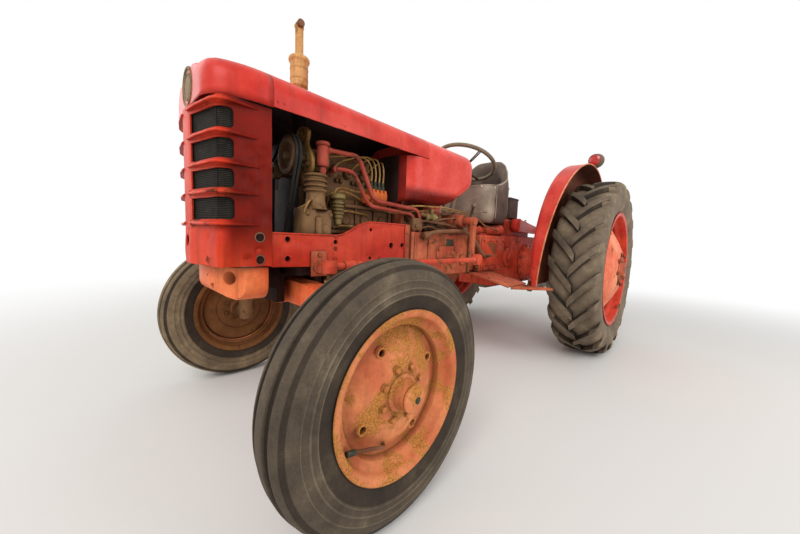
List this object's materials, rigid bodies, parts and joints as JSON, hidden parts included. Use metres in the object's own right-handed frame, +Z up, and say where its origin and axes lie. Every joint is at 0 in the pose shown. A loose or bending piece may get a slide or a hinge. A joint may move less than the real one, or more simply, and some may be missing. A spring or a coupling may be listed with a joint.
{
  "type": "farm tractor",
  "caption": "Small open farm tractor with ribbed front tyres, chevron rear tyres, finned grille, stack exhaust and a rear linkage.",
  "frame": {"origin": "bottom centre of the bounding box, on the ground", "axes": "+Z up, +Y towards the rear, the tractor faces -Y, its left side is +X"},
  "size_m": [1.624, 3.1009, 1.5509],
  "materials": {
    "red_paint": "worn gloss",
    "orange_paint": "worn",
    "red_casting": "painted, rusty",
    "rusty_casting": "rusty",
    "rusty_rim": "rusty paint",
    "rear_rim": "faded paint",
    "tyre": "worn",
    "belt": "matt",
    "radiator": "dusty",
    "exhaust": "burnt",
    "pipe_paint": "worn",
    "seat_vinyl": "worn",
    "steel": "dull",
    "wheel_plastic": "worn"
  },
  "bodies": {
    "chassis": {"grille_shell": "red_paint", "nose_cap": "red_paint", "bonnet": "red_paint", "tank_cowl": "red_paint", "radiator": "radiator", "front_frame": "red_paint", "front_weight": "orange_paint", "engine": "rusty_casting", "dynamo": "rusty_casting", "fan_and_pulleys": "rusty_casting", "belts": "belt", "air_compressor": "rusty_casting", "fuel_gear": "rusty_casting", "air_pipes": "pipe_paint", "exhaust": "exhaust", "gearbox": "red_casting", "rear_axle": "red_casting", "lift_housing": "red_casting", "drawbar": "steel", "power_shaft": "steel", "fenders": "red_paint", "rear_lamps": "red_paint", "foot_plates": "red_paint", "seat": "seat_vinyl", "seat_bracket": "red_casting", "box_behind_seat": "steel", "steering_column": "steel", "levers_and_pedals": "steel", "front_axle": "orange_paint"},
    "knuckle_left": {"knuckle_left": "orange_paint"},
    "knuckle_right": {"knuckle_right": "orange_paint"},
    "wheel_front_left": {"front_wheel_left": "rusty_rim", "front_tyre_left": "tyre"},
    "wheel_front_right": {"front_wheel_right": "rusty_rim", "front_tyre_right": "tyre"},
    "wheel_rear_left": {"rear_wheel_left": "rear_rim", "rear_tyre_left": "tyre"},
    "wheel_rear_right": {"rear_wheel_right": "rear_rim", "rear_tyre_right": "tyre"},
    "tie_rod": {"tie_rod": "steel"},
    "drag_link": {"drag_link": "red_paint"},
    "drop_arm": {"drop_arm": "red_paint"},
    "steering_wheel": {"steering_wheel": "wheel_plastic"},
    "lift_arms": {"lift_arms": "red_paint"},
    "lift_rods": {"lift_rods": "steel"},
    "lower_links": {"lower_links": "steel"}
  },
  "joints": [
    {"name": "spin_front_left", "type": "hinge", "parent": "knuckle_left", "child": "wheel_front_left", "pos_m": [0.597, -1.2085, 0.347], "axis": [1, 0, 0], "continuous": true},
    {"name": "spin_front_right", "type": "hinge", "parent": "knuckle_right", "child": "wheel_front_right", "pos_m": [-0.597, -1.2085, 0.347], "axis": [1, 0, 0], "continuous": true},
    {"name": "spin_rear_left", "type": "hinge", "parent": "chassis", "child": "wheel_rear_left", "pos_m": [0.636, 0.7515, 0.59], "axis": [1, 0, 0], "continuous": true},
    {"name": "spin_rear_right", "type": "hinge", "parent": "chassis", "child": "wheel_rear_right", "pos_m": [-0.636, 0.7515, 0.59], "axis": [1, 0, 0], "continuous": true},
    {"name": "steer_left", "type": "hinge", "parent": "chassis", "child": "knuckle_left", "pos_m": [0.48, -1.2085, 0.45], "axis": [0, 0, 1], "range_deg": [-30, 30]},
    {"name": "steer_right", "type": "hinge", "parent": "chassis", "child": "knuckle_right", "pos_m": [-0.48, -1.2085, 0.45], "axis": [0, 0, 1], "range_deg": [-30, 30]},
    {"name": "tie_rod_pivot", "type": "hinge", "parent": "knuckle_left", "child": "tie_rod", "pos_m": [0.48, -1.0835, 0.44], "axis": [0, 0, 1], "range_deg": [-30, 30]},
    {"name": "drag_link_pivot", "type": "hinge", "parent": "knuckle_left", "child": "drag_link", "pos_m": [0.34, -1.2385, 0.65], "axis": [0, 0, 1], "range_deg": [-30, 30]},
    {"name": "drop_arm_swing", "type": "hinge", "parent": "chassis", "child": "drop_arm", "pos_m": [0.24, -0.3285, 0.852], "axis": [1, 0, 0], "range_deg": [-21, 21]},
    {"name": "steering_wheel_turn", "type": "hinge", "parent": "chassis", "child": "steering_wheel", "pos_m": [0, 0.0015, 1.258], "axis": [0, 0.3827, 0.9239], "range_deg": [-360, 360]},
    {"name": "lift_raise", "type": "hinge", "parent": "chassis", "child": "lift_arms", "pos_m": [0, 0.4915, 0.88], "axis": [1, 0, 0], "range_deg": [-12, 18]},
    {"name": "lift_rod_pivot", "type": "hinge", "parent": "lift_arms", "child": "lift_rods", "pos_m": [0, 0.9215, 0.85], "axis": [1, 0, 0], "range_deg": [-20, 20]},
    {"name": "lower_link_raise", "type": "hinge", "parent": "chassis", "child": "lower_links", "pos_m": [0, 0.6915, 0.4], "axis": [1, 0, 0], "range_deg": [-20, 30]}
  ],
  "couplings": [
    {"joint": "steer_right", "follows": "steer_left", "ratio": 1},
    {"joint": "tie_rod_pivot", "follows": "steer_left", "ratio": -1},
    {"joint": "drag_link_pivot", "follows": "steer_left", "ratio": -0.9685},
    {"joint": "drop_arm_swing", "follows": "steer_left", "ratio": -0.676},
    {"joint": "steering_wheel_turn", "follows": "steer_left", "ratio": 12},
    {"joint": "lift_rod_pivot", "follows": "lift_raise", "ratio": -1.08},
    {"joint": "lower_link_raise", "follows": "lift_raise", "ratio": 1.2}
  ]
}
